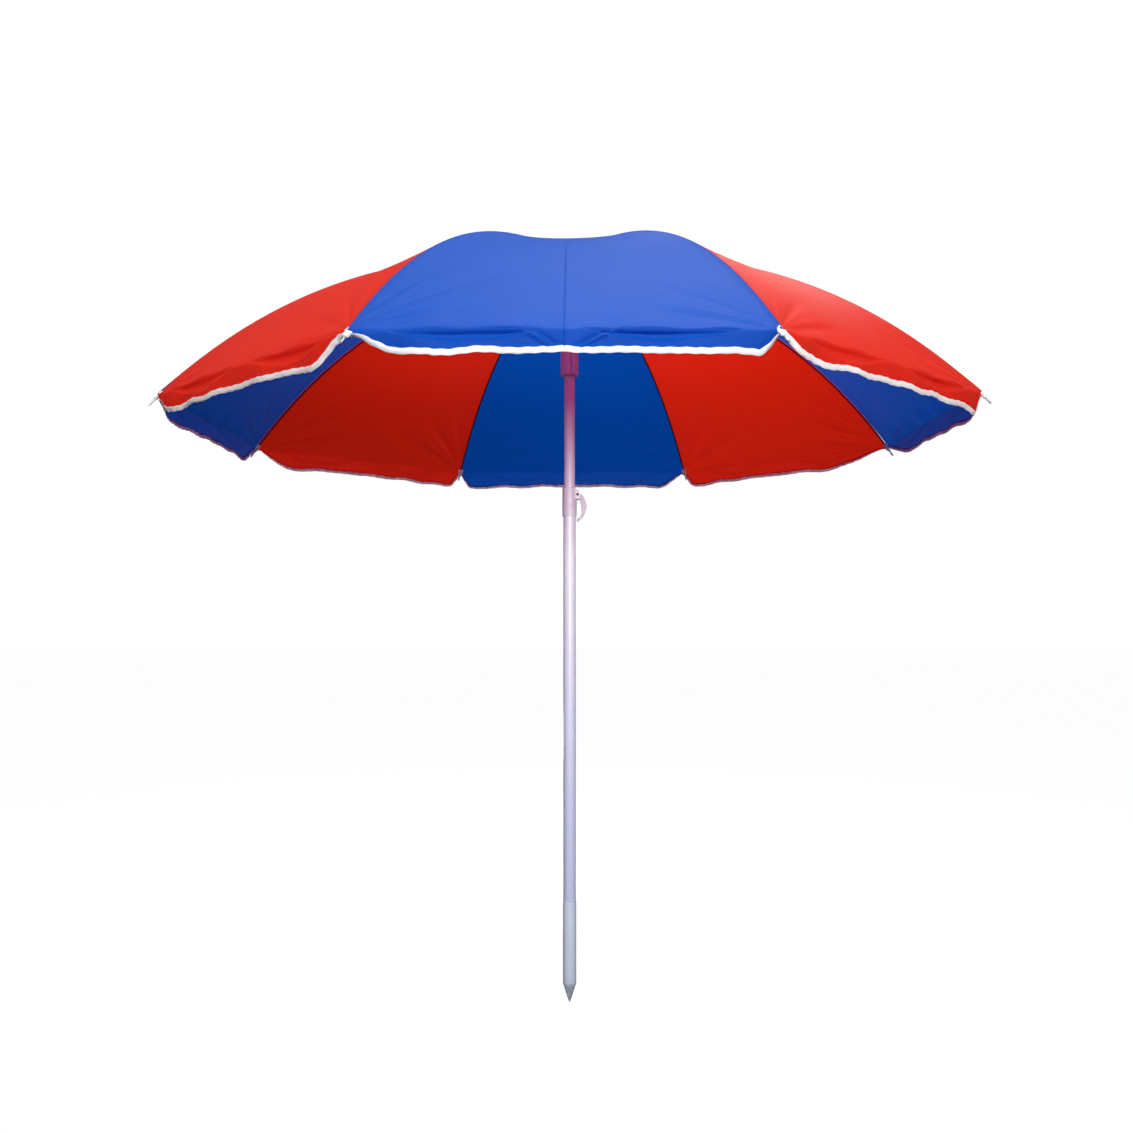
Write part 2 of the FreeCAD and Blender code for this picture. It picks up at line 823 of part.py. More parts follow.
def half_gore(side):
    """Half a gore beside a rib that lies along +X, on the side +1 or -1, with its valance.

    Its taut part hangs on straight lines from rib to rib, with a small sag between them.
    """
    pitch = math.radians(size("rib_step"))
    neighbour = FreeCAD.Vector(math.cos(pitch), side * math.sin(pitch), 0)
    gap = size("cover_gap")
    rim = size("rim_radius")

    def point(radius, share, lift):
        """A point of the surface: share runs from 0 at the rib to 1 at the gore's middle."""
        half_width = radius * math.sin(pitch / 2)
        span = gap + (half_width - 2 * gap) * share
        toward = span / (2 * half_width)
        place = FreeCAD.Vector(radius, 0, 0) * (1 - toward) + neighbour * (radius * toward)
        sag = size("cover_sag") * 4 * toward * (1 - toward)
        belly = math.sin(math.pi * (radius / rim) ** 0.8) ** 2
        place.z = cover_level(radius) - sag * belly + lift
        return place

    def skin(lift):
        rows = []
        inner = size("cover_inner_radius")
        for step in range(9):
            radius = inner + (rim - inner) * step / 8
            rows.append([point(radius, share / 4, lift) for share in range(5)])
        surface = Part.BSplineSurface()
        surface.interpolate(rows)
        return surface.toShape()

    lower = skin(0)
    upper = skin(size("cover_thickness"))
    walls = []
    for low_edge, high_edge in zip(lower.Edges, upper.Edges):
        walls.append(Part.makeRuledSurface(low_edge, high_edge))
    shell = Part.makeShell([lower, upper] + walls)
    shell.sewShape()
    main = Part.Solid(shell)
    if main.Volume < 0:
        main.reverse()

    corner = point(rim, 0, 0.6)
    middle = point(rim, 1, 0.6)
    along = (middle - corner).normalize()
    inward = FreeCAD.Vector(-along.y * side, along.x * side, 0)
    if inward.dot(FreeCAD.Vector(1, 0, 0)) > 0:
        inward = inward * -1
    drop = FreeCAD.Vector(0, 0, -size("valance_drop"))
    bevel = along * size("valance_corner")
    outline = [corner, middle, middle + drop, corner + bevel + drop, corner]
    if along.cross(drop).dot(inward) < 0:
        outline.reverse()
    face = Part.Face(Part.makePolygon(outline))
    flap = face.extrude(inward * size("cover_thickness"))
    return main.fuse(flap).removeSplitter()


def make_half_gores():
    """Sixteen half gores: each rides with the rib that it is sewn to."""
    shapes = {side: half_gore(side) for side in (-1, 1)}
    for number in range(1, RIBS + 1):
        for side, gore, word in ((-1, number, "right"), (1, number % RIBS + 1, "left")):
            label = f"gore_{gore}_{word}"
            made = doc.addObject("Part::Feature", label)
            made.Shape = shapes[side]
            done(turned(made, number), label)


# ---------------------------------------------------------------- everything


def check():
    """Stops on any failed object, and on any sub-part without a sound shape."""
    for obj in doc.Objects:
        bad = [word for word in obj.State if word in ("Invalid", "Error")]
        if bad:
            raise RuntimeError(f"{obj.Name} is {bad}")
    for obj in parts:
        if obj.Shape.isNull() or not obj.Shape.isValid() or obj.Shape.Volume <= 0:
            raise RuntimeError(f"{obj.Label} has no sound shape")


def write():
    os.makedirs("parts", exist_ok=True)
    for obj in parts:
        obj.Shape.exportStep(f"parts/{obj.Label}.step")
        print(obj.Label, len(obj.Shape.Solids), round(obj.Shape.Volume, 1))


make_spike()
make_lower_tube()
make_collar()
make_collar_rivet()
make_lever_pin()
make_clamp_shoe()
make_lever()
make_upper_tube()
make_guide_bush()
make_crown_hub()
make_ring("crown_ring", "crown_ring_radius", HINGE_LEVEL)
make_top_cap()
make_runner()
make_ring("runner_ring", "runner_ring_radius", "<runner_ring_height>")
make_latch()
make_latch_pin()
for rib_number in range(1, RIBS + 1):
    make_rib(rib_number)
    make_bracket(rib_number)
    make_stretcher(rib_number)
make_half_gores()
doc.recompute()
check()
write()
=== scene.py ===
"""The looks of a beach umbrella: its sewn cover, bindings and finishes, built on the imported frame.

Units are metres. +Z is up, the front is -Y, and the pole stands on the Z axis.
"""

from __future__ import annotations

import logging
import math
from dataclasses import dataclass, field
from enum import Enum
from typing import Any, Callable, Optional, Union

import bmesh
import bpy
import numpy as np
from mathutils import Matrix, Vector


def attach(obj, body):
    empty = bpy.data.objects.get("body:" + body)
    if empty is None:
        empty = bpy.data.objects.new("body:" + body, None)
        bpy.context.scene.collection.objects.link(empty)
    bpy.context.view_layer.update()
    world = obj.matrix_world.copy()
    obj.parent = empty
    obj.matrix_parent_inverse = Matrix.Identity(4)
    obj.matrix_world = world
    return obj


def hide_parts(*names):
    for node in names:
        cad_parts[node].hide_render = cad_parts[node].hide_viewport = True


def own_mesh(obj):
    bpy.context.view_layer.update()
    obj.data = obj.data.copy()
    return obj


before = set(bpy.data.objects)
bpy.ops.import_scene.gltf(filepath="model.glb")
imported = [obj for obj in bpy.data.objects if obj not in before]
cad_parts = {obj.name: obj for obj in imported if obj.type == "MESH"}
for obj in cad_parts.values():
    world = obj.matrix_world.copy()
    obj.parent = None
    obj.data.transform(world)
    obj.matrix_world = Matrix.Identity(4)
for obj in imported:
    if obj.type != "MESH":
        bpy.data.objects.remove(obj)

log = logging.getLogger("beach_umbrella")

RIBS = 8
MILLIMETRE = 0.001
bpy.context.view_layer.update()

Colour = tuple[float, float, float]
Place = tuple[float, float, float]
Number = Union[float, "Value"]
Owner = Union[bpy.types.Material, bpy.types.World]


# ------------------------------------------------------------------ shader expressions


class Value:
    """A number socket of a node tree. Arithmetic on it adds Math nodes."""

    def __init__(self, recipe: "Recipe", socket: bpy.types.NodeSocket) -> None:
        """Keeps the socket and the recipe that it belongs to."""
        self.recipe = recipe
        self.socket = socket

    def _math(self, operation: str, *terms: Number) -> "Value":
        """A Math node of one operation on the terms, in their order."""
        sockets = dict(enumerate(terms))
        return self.recipe.node("ShaderNodeMath", {"operation": operation}, sockets)

    def __add__(self, other: Number) -> "Value":
        """The sum."""
        return self._math("ADD", self, other)

    __radd__ = __add__

    def __sub__(self, other: Number) -> "Value":
        """This less the other."""
        return self._math("SUBTRACT", self, other)

    def __rsub__(self, other: Number) -> "Value":
        """The other less this."""
        return self._math("SUBTRACT", other, self)

    def __mul__(self, other: Number) -> "Value":
        """The product."""
        return self._math("MULTIPLY", self, other)

    __rmul__ = __mul__

    def wave(self, period: float) -> "Value":
        """A sine of this value with a period in the same unit."""
        return self._math("SINE", self * (2 * math.pi / period))

    def size(self) -> "Value":
        """The value without its sign."""
        return self._math("ABSOLUTE", self)

    def ramp(self, low: float, high: float) -> "Value":
        """A smooth rise from 0 at low to 1 at high, or a fall where low is over high.

        Args:
            low: the value that gives 0.
            high: the value that gives 1.
        """
        falling = low > high
        first, last = (high, low) if falling else (low, high)
        settings = {"interpolation_type": "SMOOTHSTEP"}
        sockets = {"Value": self, "From Min": first, "From Max": last}
        risen = self.recipe.node("ShaderNodeMapRange", settings, sockets)
        return 1 - risen if falling else risen


class Recipe:
    """The node tree of a material or of the world, written as expressions."""

    def __init__(self, owner: Owner) -> None:
        """Starts the owner's tree with nothing in it but the output."""
        kind = "World" if isinstance(owner, bpy.types.World) else "Material"
        owner.use_nodes = True
        self.owner = owner
        self.tree = owner.node_tree
        self.tree.nodes.clear()
        self.output = self.tree.nodes.new(f"ShaderNodeOutput{kind}")

    @classmethod
    def of_material(cls, name: str) -> "Recipe":
        """The recipe of a new material."""
        return cls(bpy.data.materials.new(name))

    def node(
        self,
        kind: str,
        settings: Optional[dict[str, Any]] = None,
        sockets: Optional[dict[Union[int, str], Any]] = None,
        output: Union[int, str] = 0,
    ) -> Value:
        """One node of the tree.

        Args:
            kind: the node's type.
            settings: its properties.
            sockets: its inputs by name or number, as numbers, colours or other sockets.
            output: the output that is handed back.

        Returns:
            The chosen output.
        """
        made = self.tree.nodes.new(kind)
        for name, value in (settings or {}).items():
            setattr(made, name, value)
        for key, value in (sockets or {}).items():
            self._feed(made.inputs[key], value)
        return Value(self, made.outputs[output])

    def _feed(self, socket: bpy.types.NodeSocket, value: Any) -> None:
        """Links a socket to another, or sets its value."""
        if isinstance(value, Value):
            self.tree.links.new(value.socket, socket)
        elif socket.type == "RGBA":
            socket.default_value = (*value, 1.0)
        else:
            socket.default_value = value

    def place(self) -> Value:
        """The point of the piece in the object's own frame."""
        return self.node("ShaderNodeTexCoord", output="Object")

    def attribute(self, name: str) -> Value:
        """A vector that the piece's mesh carries at its points."""
        return self.node("ShaderNodeAttribute", {"attribute_name": name}, output="Vector")

    def parts(self, vector: Value) -> tuple[Value, Value, Value]:
        """The three numbers of a vector."""
        split = self.node("ShaderNodeSeparateXYZ", sockets={0: vector})
        return tuple(Value(self, out) for out in split.socket.node.outputs)

    def stretched(self, vector: Value, scale: tuple[float, float, float]) -> Value:
        """A vector with its three numbers scaled."""
        return self.node("ShaderNodeMapping", sockets={"Vector": vector, "Scale": scale})

    def noise(self, vector: Value, scale: float, detail: float = 2.0) -> Value:
        """Soft noise from 0 to 1, in lumps of about one over the scale."""
        sockets = {"Vector": vector, "Scale": scale, "Detail": detail}
        return self.node("ShaderNodeTexNoise", sockets=sockets)

    def blend(self, factor: Number, first: Any, second: Any) -> Value:
        """A mix of two colours."""
        settings = {"data_type": "RGBA"}
        sockets = {0: factor, 6: first, 7: second}
        return self.node("ShaderNodeMix", settings, sockets, output=2)

    def bump(self, height: Value, strength: float = 1.0) -> Value:
        """A bumped normal from a height in millimetres."""
        sockets = {"Height": height, "Distance": MILLIMETRE, "Strength": strength}
        return self.node("ShaderNodeBump", sockets=sockets)

    def surface(self, **sockets: Any) -> Value:
        """The Principled shader, with words of its socket names joined by underscores."""
        named = {name.replace("_", " "): value for name, value in sockets.items()}
        return self.node("ShaderNodeBsdfPrincipled", sockets=named)

    def layered(self, share: float, under: Value, over: Value) -> Value:
        """Two shaders, the second taking a share of the light."""
        return self.node("ShaderNodeMixShader", sockets={0: share, 1: under, 2: over})

    def finish(self, shader: Value) -> Owner:
        """Puts a shader on the output and hands back the material or the world."""
        self.tree.links.new(shader.socket, self.output.inputs["Surface"])
        return self.owner


# ------------------------------------------------------------------ finishes


@dataclass(frozen=True)
class Cloth:
    """Thin woven polyester with a satin face, which lets some light through.

    Widths, pitches and reliefs are in millimetres.
    """

    name: str
    colour: Colour
    faded: Colour
    through: Colour
    thread: Colour
    roughness: float = 0.42
    translucency: float = 0.4
    thread_pitch: float = 0.55
    lap_width: float = 6.0
    hem_width: float = 11.0
    stitch_rows: tuple[float, float] = (1.6, 5.0)
    stitch_pitch: float = 3.2
    pucker_pitch: float = 9.0
    pucker_reach: float = 26.0
    crease_width: float = 2.6
    thread_relief: float = 0.035
    grain_relief: float = 0.28
    pucker_relief: float = 0.34
    lap_relief: float = 0.5
    hem_relief: float = 0.3
    stitch_relief: float = 0.35
    crease_relief: float = 0.22

    def material(self) -> bpy.types.Material:
        """The cloth as a material that reads the mesh's weave and seam attributes."""
        recipe = Recipe.of_material(self.name)
        weave = recipe.attribute("weave")
        across, along, _ = recipe.parts(weave)
        from_seam, along_seam, above_hem = recipe.parts(recipe.attribute("seam"))

        clouds = recipe.noise(weave, scale=5.0, detail=3.0)
        slubs = recipe.noise(recipe.stretched(weave, (1.0, 0.05, 1.0)), scale=900.0)
        faded = clouds.ramp(0.35, 0.8) * 0.5 + slubs.ramp(0.4, 0.8) * 0.14
        colour = recipe.blend(faded, self.colour, self.faded)

        lap = from_seam.ramp(self.lap_width, self.lap_width - 0.6)
        hem_lap = above_hem.ramp(self.hem_width, self.hem_width - 1.0)
        doubled = lap * 0.16 + hem_lap * 0.1
        colour = recipe.blend(doubled, colour, self.through)
        first_row, second_row = (
            self._stitch(from_seam, along_seam, distance) for distance in self.stitch_rows
        )
        seam_rows = first_row + second_row
        colour = recipe.blend(seam_rows * 0.55, colour, self.thread)

        pitch = self.thread_pitch
        threads = across.wave(pitch) * along.wave(pitch)
        grain = recipe.noise(recipe.stretched(weave, (1.0, 0.35, 1.0)), scale=60.0, detail=4.0)
        pucker = along_seam.wave(self.pucker_pitch) * from_seam.ramp(self.pucker_reach, 2.0)
        pucker_noise = recipe.noise(recipe.stretched(weave, (0.4, 1.0, 1.0)), scale=110.0)
        crease = across.size().ramp(self.crease_width, 0.0) * grain.ramp(0.3, 0.6)
        height = threads * self.thread_relief + grain * self.grain_relief
        height = height + pucker * pucker_noise * self.pucker_relief
        height = height + lap * self.lap_relief + hem_lap * self.hem_relief
        height = height - seam_rows * self.stitch_relief + crease * self.crease_relief

        satin = self.roughness + (grain - 0.5) * 0.16 + lap * 0.08
        face = recipe.surface(
            Base_Color=colour,
            Roughness=satin,
            Normal=recipe.bump(height),
            Specular_IOR_Level=0.16,
            Sheen_Weight=0.03,
            Sheen_Roughness=0.4,
        )
        back = recipe.node("ShaderNodeBsdfTranslucent", sockets={"Color": self.through})
        return recipe.finish(recipe.layered(self.translucency, face, back))

    def _stitch(self, from_seam: Value, along_seam: Value, distance: float) -> Value:
        """A row of short stitches at a distance from the seam."""
        near = (from_seam - distance).size().ramp(0.75, 0.25)
        return near * along_seam.wave(self.stitch_pitch).ramp(-0.5, 0.1)


@dataclass(frozen=True)
class Tape:
    """Woven binding tape, sewn over a raw edge. Lengths are in millimetres."""

    name: str
    colour: Colour
    darkened: Colour
    translucency: float = 0.18
    cord_pitch: float = 1.1
    stitch_pitch: float = 3.0
    stitch_from_fold: float = 6.3
    cord_relief: float = 0.09
    lump_relief: float = 0.3
    stitch_relief: float = 0.3

    def material(self) -> bpy.types.Material:
        """The tape as a material that reads its run and its width in millimetres."""
        recipe = Recipe.of_material(self.name)
        weave = recipe.attribute("weave")
        along, across, _ = recipe.parts(weave)
        dirt = recipe.noise(recipe.stretched(weave, (0.08, 0.25, 1.0)), scale=1.0, detail=4.0)
        cords = along.wave(self.cord_pitch)
        row = (across - self.stitch_from_fold).size().ramp(0.7, 0.2)
        stitch = row * along.wave(self.stitch_pitch).ramp(-0.4, 0.1)
        # The random dirt is real soiling. The stitch term is a painted shadow along the white
        # stitches.
        dirt_and_stitch_shadow = dirt.ramp(0.5, 0.85) * 0.5 + stitch * 0.2
        colour = recipe.blend(dirt_and_stitch_shadow, self.colour, self.darkened)
        lumps = recipe.noise(recipe.stretched(weave, (0.12, 0.3, 1.0)), scale=1.0)
        height = cords * self.cord_relief + lumps * self.lump_relief
        height = height - stitch * self.stitch_relief
        face = recipe.surface(
            Base_Color=colour,
            Roughness=0.66 + dirt * 0.2,
            Normal=recipe.bump(height),
            Sheen_Weight=0.2,
            Sheen_Roughness=0.5,
        )
        back = recipe.node("ShaderNodeBsdfTranslucent", sockets={"Color": self.colour})
        return recipe.finish(recipe.layered(self.translucency, face, back))


@dataclass(frozen=True)
class Paint:
    """Satin paint on steel tube, with fine orange peel, handling scuffs and thin scratches.

    The colour goes from low, near the ground, to colour, a metre up. This is painted shade: the
    paint is darker and bluer lower down.
    """

    name: str
    colour: Colour
    low: Colour
    scuffed: Colour
    bare: Colour
    roughness: float = 0.3
    wear_below: float = -1.0

    def material(self) -> bpy.types.Material:
        """The paint as a material on the piece's own coordinates."""
        recipe = Recipe.of_material(self.name)
        place = recipe.place()
        _, _, up = recipe.parts(place)
        clouds = recipe.noise(recipe.stretched(place, (1.0, 1.0, 0.25)), scale=30.0, detail=4.0)
        rubbed = recipe.noise(recipe.stretched(place, (1.0, 1.0, 0.02)), scale=420.0, detail=2.0)
        rings = recipe.noise(recipe.stretched(place, (0.04, 0.04, 1.0)), scale=500.0, detail=2.0)
        scuffs = rubbed.ramp(0.62, 0.74) * clouds.ramp(0.5, 0.66)
        scratches = rings.ramp(0.66, 0.76) * clouds.ramp(0.46, 0.6)
        tone = clouds.ramp(0.3, 0.8) * 0.35 + scuffs * 0.4
        # Painted shade: lower down the piece, the paint is blended towards low, which is darker and
        # bluer.
        shaded_towards_ground = recipe.blend(up.ramp(1.0, 0.3), self.colour, self.low)
        colour = recipe.blend(tone, shaded_towards_ground, self.scuffed)
        worn = up.ramp(self.wear_below, self.wear_below - 0.03)
        chipped = worn * recipe.noise(place, scale=300.0, detail=5.0).ramp(0.45, 0.6)
        colour = recipe.blend(chipped * 0.85 + scratches * 0.25, colour, self.bare)
        peel = recipe.noise(place, scale=900.0, detail=1.0)
        height = peel * 0.03 - scratches * 0.05 - chipped * 0.08
        shader = recipe.surface(
            Base_Color=colour,
            Roughness=self.roughness + clouds * 0.12 + scuffs * 0.2 + chipped * 0.1,
            Metallic=chipped * 0.8,
            Normal=recipe.bump(height),
            Coat_Weight=0.25,
            Coat_Roughness=0.2,
        )
        return recipe.finish(shader)


@dataclass(frozen=True)
class Moulded:
    """Injection-moulded plastic with a fine spark-eroded grain and a rubbed sheen."""

    name: str
    colour: Colour
    darkened: Colour
    roughness: float = 0.34

    def material(self) -> bpy.types.Material:
        """The plastic as a material on the piece's own coordinates."""
        recipe = Recipe.of_material(self.name)
        place = recipe.place()
        clouds = recipe.noise(place, scale=45.0, detail=4.0)
        grain = recipe.noise(place, scale=2600.0, detail=2.0)
        flow = recipe.noise(recipe.stretched(place, (1.0, 1.0, 0.15)), scale=160.0, detail=3.0)
        rubbed = recipe.noise(recipe.stretched(place, (1.0, 0.15, 0.6)), scale=520.0, detail=2.0)
        nicks = rubbed.ramp(0.68, 0.76)
        tone = clouds.ramp(0.42, 0.8) * 0.5 + nicks * 0.4 + flow.ramp(0.5, 0.9) * 0.15
        colour = recipe.blend(tone, self.colour, self.darkened)
        height = grain * 0.035 + flow * 0.12 - nicks * 0.08
        shader = recipe.surface(
            Base_Color=colour,
            Roughness=self.roughness + clouds * 0.14 + nicks * 0.15,
            Normal=recipe.bump(height),
            Coat_Weight=0.12,
            Coat_Roughness=0.25,
            Subsurface_Weight=0.06,
            Subsurface_Scale=0.004,
        )
        return recipe.finish(shader)


@dataclass(frozen=True)
class Steel:
    """Plain bright steel, drawn or tumbled, a little dulled."""

    name: str
    colour: Colour
    dulled: Colour
    roughness: float = 0.3

    def material(self) -> bpy.types.Material:
        """The steel as a material on the piece's own coordinates."""
        recipe = Recipe.of_material(self.name)
        place = recipe.place()
        clouds = recipe.noise(place, scale=120.0, detail=4.0)
        drawn = recipe.noise(recipe.stretched(place, (1.0, 1.0, 0.04)), scale=1800.0, detail=2.0)
        colour = recipe.blend(clouds.ramp(0.4, 0.75), self.colour, self.dulled)
        shader = recipe.surface(
            Base_Color=colour,
            Metallic=1.0,
            Roughness=self.roughness + clouds * 0.2 + drawn * 0.08,
            Normal=recipe.bump(drawn * 0.02 + clouds * 0.03),
        )
        return recipe.finish(shader)


@dataclass(frozen=True)
class RibLacquer:
    """Black lacquer on spring wire, with bare steel past the cover's rim."""

    name: str
    lacquer: Colour
    steel: Colour
    bare_from: float

    def material(self) -> bpy.types.Material:
        """The rib's finish, split by the distance from the pole's axis."""
        recipe = Recipe.of_material(self.name)
        place = recipe.place()
        flat = recipe.stretched(place, (1.0, 1.0, 0.0))
        settings = {"operation": "LENGTH"}
        out = recipe.node("ShaderNodeVectorMath", settings, {0: flat}, output="Value")
        bare = out.ramp(self.bare_from, self.bare_from + 0.002)
        flakes = recipe.noise(place, scale=700.0, detail=4.0)
        chips = flakes.ramp(0.66, 0.72)
        metal = (bare + chips * 0.6).ramp(0.2, 0.7)
        colour = recipe.blend(metal, self.lacquer, self.steel)
        shader = recipe.surface(
            Base_Color=colour,
            Metallic=metal,
            Roughness=0.3 + flakes * 0.2,
            Normal=recipe.bump(flakes * 0.05),
        )
        return recipe.finish(shader)


class Finish(Enum):
    """The umbrella's finishes."""

    COVER_BLUE = Cloth(
        "cover_blue",
        colour=(0.002, 0.062, 0.38),
        faded=(0.008, 0.078, 0.42),
        through=(0.0, 0.125, 0.8),
        thread=(0.01, 0.03, 0.2),
    )
    COVER_RED = Cloth(
        "cover_red",
        colour=(0.78, 0.035, 0.018),
        faded=(0.8, 0.05, 0.03),
        through=(0.98, 0.02, 0.005),
        thread=(0.45, 0.02, 0.01),
        translucency=0.58,
    )
    EDGE_WHITE = Tape("edge_white", (0.97, 0.96, 0.98), (0.8, 0.79, 0.84))
    # The pole is white paint. Its lilac tint is painted reflected light from the surroundings.
    POLE_PAINT = Paint(
        "pole_paint",
        colour=(0.86, 0.84, 0.95),
        low=(0.64, 0.69, 0.94),
        scuffed=(0.66, 0.67, 0.84),
        # low is painted shade: darker and bluer paint near the ground.
        bare=(0.35, 0.35, 0.38),
        wear_below=0.03,
    )
    SPIKE_COAT = Paint(
        "spike_coat",
        colour=(0.7, 0.8, 0.98),
        low=(0.7, 0.8, 0.98),
        scuffed=(0.55, 0.6, 0.72),
        bare=(0.3, 0.3, 0.32),
        roughness=0.38,
        wear_below=0.05,
    )
    WHITE_PLASTIC = Moulded("white_plastic", (0.80, 0.76, 0.83), (0.62, 0.58, 0.66))
    # The lever's own copy of the white plastic, made darker and pinker: painted shade on the lever.
    LEVER_PLASTIC = Moulded("lever_plastic", (0.57, 0.48, 0.57), (0.45, 0.38, 0.46))
    GREY_PLASTIC = Moulded("grey_plastic", (0.2, 0.2, 0.22), (0.12, 0.12, 0.13), 0.5)
    DARK_STEEL = Steel("dark_steel", (0.07, 0.06, 0.07), (0.03, 0.03, 0.035), 0.42)
    BRIGHT_STEEL = Steel("bright_steel", (0.6, 0.6, 0.62), (0.4, 0.4, 0.42))
    RIB_LACQUER = RibLacquer(
        "rib_lacquer", lacquer=(0.012, 0.012, 0.016), steel=(0.6, 0.6, 0.58), bare_from=0.796
    )

    def material(self) -> bpy.types.Material:
        """The finish's material, made once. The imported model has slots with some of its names."""
        name = f"{self.value.name}_finish"
        made = bpy.data.materials.get(name)
        if made is None:
            made = self.value.material()
            made.name = name
        return made


def dress(node: str, finish: Finish) -> None:
    """Gives a CAD node its finish."""
    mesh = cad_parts[node].data
    mesh.materials.clear()
    mesh.materials.append(finish.material())
    log.info("%s is finished in %s", node, finish.value.name)


# ------------------------------------------------------------------ cloth shapes


@dataclass(frozen=True)
class Canopy:
    """The curve of the ribs and the sizes that all gores share."""

    rim_radius: float = 0.8
    rim_height: float = 1.168
    root_fall: float = 0.1376
    rib_bend: float = 0.3124
    lift: float = 0.0038
    inner_radius: float = 0.025
    half_pitch: float = math.radians(180 / RIBS)
    sag: float = 0.014
    bend_length: float = 0.011
    hanging: Place = (-0.05, 0.0, -1.0)

    def level(self, share: np.ndarray) -> np.ndarray:
        """The cloth's height over a rib at a share of the rim's radius."""
        fall = self.root_fall * share + self.rib_bend * share**3
        crown = self.rim_height + self.rim_radius * (self.root_fall + self.rib_bend)
        slope = self.root_fall + 3 * self.rib_bend * share**2
        return crown - self.rim_radius * fall + self.lift * np.hypot(1, slope)

    @property
    def half_chord(self) -> float:
        """Half the straight distance between two neighbouring rib tips."""
        return self.rim_radius * math.sin(self.half_pitch)


@dataclass(frozen=True)
class Habit:
    """How the cloth of one gore happens to hang."""

    left_corner: float
    right_corner: float
    drop: float
    left_droop: float = 0.1
    right_droop: float = 0.1
    middle_fold: float = 0.0
    flutter: float = 0.5
    phase: float = 0.0


@dataclass(frozen=True)
class Folds:
    """How high each kind of fold stands out of the smooth cloth, and where the middle ones lie."""

    fan: float = 0.0014
    wave: float = 0.0013
    flutter: float = 0.0032
    quick_flutter: float = 0.0016
    pucker: float = 0.0014
    curl: float = 0.010
    buckle: float = 0.0105
    rim: float = 0.0012
    middle_leans: tuple[float, float] = (1.4, 1.9)
    middle_width: float = 0.008
    middle_height: float = 0.037


